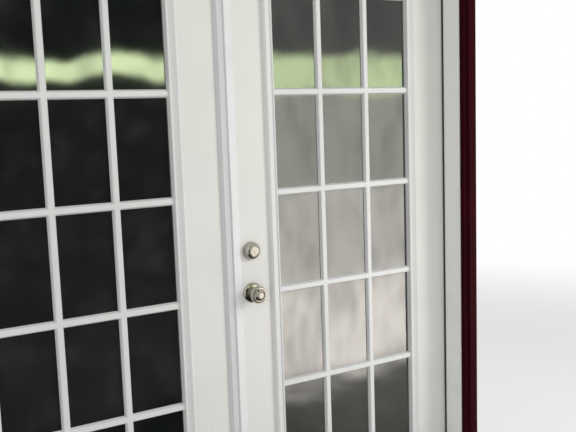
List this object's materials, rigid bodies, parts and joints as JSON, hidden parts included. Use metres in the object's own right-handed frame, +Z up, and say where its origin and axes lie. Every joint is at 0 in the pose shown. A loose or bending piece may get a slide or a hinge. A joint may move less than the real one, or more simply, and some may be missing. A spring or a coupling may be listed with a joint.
{
  "type": "french door set",
  "caption": "Pair of inward-opening glazed entrance doors in a rabbeted frame with brick mould, sill, hinges, split astragal, flush bolts, knob latch and deadbolt.",
  "frame": {"origin": "middle of the sill's underside, in the plane of the leaves' outer faces", "axes": "+Z up along the jambs, -Y to the outside, +Y to the room that the leaves open into, +X to the active leaf's side, which is the right as seen from outside"},
  "size_m": [1.929, 0.2332, 2.0948],
  "materials": {
    "jamb_paint": "satin paint on wood",
    "mould_paint": "maroon paint on wood",
    "sill_metal": "mill finish, extruded",
    "cap_wood": "clear finish on a composite cap",
    "seal_rubber": "soft foam under a matt skin",
    "sweep_rubber": "matt vinyl",
    "strike_metal": "satin nickel",
    "hinge_metal": "satin nickel",
    "leaf_paint": "satin paint on a moulded skin over foam",
    "lite_paint": "satin moulded plastic",
    "astragal_paint": "satin paint",
    "pane_glass": "clear float glass",
    "spacer_metal": "matt",
    "bolt_metal": "satin, zinc plated",
    "trim_nickel": "satin nickel"
  },
  "bodies": {
    "frame": {"left_jamb": "jamb_paint", "right_jamb": "jamb_paint", "head_jamb": "jamb_paint", "sill": "sill_metal", "sill_cap": "cap_wood", "left_brick_mould": "mould_paint", "right_brick_mould": "mould_paint", "head_brick_mould": "mould_paint", "left_weatherstrip": "seal_rubber", "right_weatherstrip": "seal_rubber", "head_weatherstrip": "seal_rubber", "head_bolt_strike": "strike_metal", "sill_bolt_strike": "strike_metal", "left_hinge_frame_leaves": "hinge_metal", "right_hinge_frame_leaves": "hinge_metal", "left_hinge_pins": "hinge_metal", "right_hinge_pins": "hinge_metal"},
    "left_door": {"left_slab": "leaf_paint", "left_outer_lite_frame": "lite_paint", "left_inner_lite_frame": "lite_paint", "left_outer_pane": "pane_glass", "left_inner_pane": "pane_glass", "left_pane_spacer": "spacer_metal", "left_door_sweep": "sweep_rubber", "left_hinge_door_leaves": "hinge_metal", "astragal_post": "astragal_paint", "passive_astragal": "astragal_paint", "astragal_weatherstrip": "seal_rubber", "latch_strike": "strike_metal", "deadbolt_strike": "strike_metal"},
    "top_flush_bolt": {"top_flush_bolt": "bolt_metal"},
    "bottom_flush_bolt": {"bottom_flush_bolt": "bolt_metal"},
    "right_door": {"right_slab": "leaf_paint", "right_outer_lite_frame": "lite_paint", "right_inner_lite_frame": "lite_paint", "right_outer_pane": "pane_glass", "right_inner_pane": "pane_glass", "right_pane_spacer": "spacer_metal", "active_astragal": "astragal_paint", "right_door_sweep": "sweep_rubber", "right_hinge_door_leaves": "hinge_metal", "latch_case": "bolt_metal", "deadbolt_case": "bolt_metal", "knob_outer_rose": "trim_nickel", "knob_inner_rose": "trim_nickel", "deadbolt_collar": "trim_nickel", "deadbolt_inner_plate": "trim_nickel"},
    "knob": {"outer_knob": "trim_nickel", "inner_knob": "trim_nickel", "knob_spindle": "bolt_metal"},
    "latch_bolt": {"latch_bolt": "bolt_metal"},
    "deadbolt_turn": {"deadbolt_cylinder": "trim_nickel", "thumb_turn": "trim_nickel"},
    "deadbolt_bolt": {"deadbolt_bolt": "bolt_metal"}
  },
  "joints": [
    {"name": "left_swing", "type": "hinge", "parent": "frame", "child": "left_door", "pos_m": [-0.9162, 0.052, 1], "axis": [0, 0, 1], "range_deg": [0, 92]},
    {"name": "right_swing", "type": "hinge", "parent": "frame", "child": "right_door", "pos_m": [0.9162, 0.052, 1], "axis": [0, 0, -1], "range_deg": [0, 92]},
    {"name": "knob_turn", "type": "hinge", "parent": "right_door", "child": "knob", "pos_m": [0.07655, 0.02225, 0.925], "axis": [0, 1, 0], "range_deg": [0, 55]},
    {"name": "latch_slide", "type": "slide", "parent": "right_door", "child": "latch_bolt", "axis": [-1, 0, 0], "range_m": [0, 0.0127]},
    {"name": "deadbolt_turn", "type": "hinge", "parent": "right_door", "child": "deadbolt_turn", "pos_m": [0.07655, 0.02225, 1.0647], "axis": [0, 1, 0], "range_deg": [0, 90]},
    {"name": "deadbolt_slide", "type": "slide", "parent": "right_door", "child": "deadbolt_bolt", "axis": [-1, 0, 0], "range_m": [0, 0.0254]},
    {"name": "top_bolt_slide", "type": "slide", "parent": "left_door", "child": "top_flush_bolt", "axis": [0, 0, 1], "range_m": [0, 0.015]},
    {"name": "bottom_bolt_slide", "type": "slide", "parent": "left_door", "child": "bottom_flush_bolt", "axis": [0, 0, -1], "range_m": [0, 0.015]}
  ],
  "couplings": [
    {"joint": "latch_slide", "follows": "knob_turn", "m_per_rad": 0.01323},
    {"joint": "deadbolt_turn", "follows": "deadbolt_slide", "rad_per_m": 61.84}
  ]
}
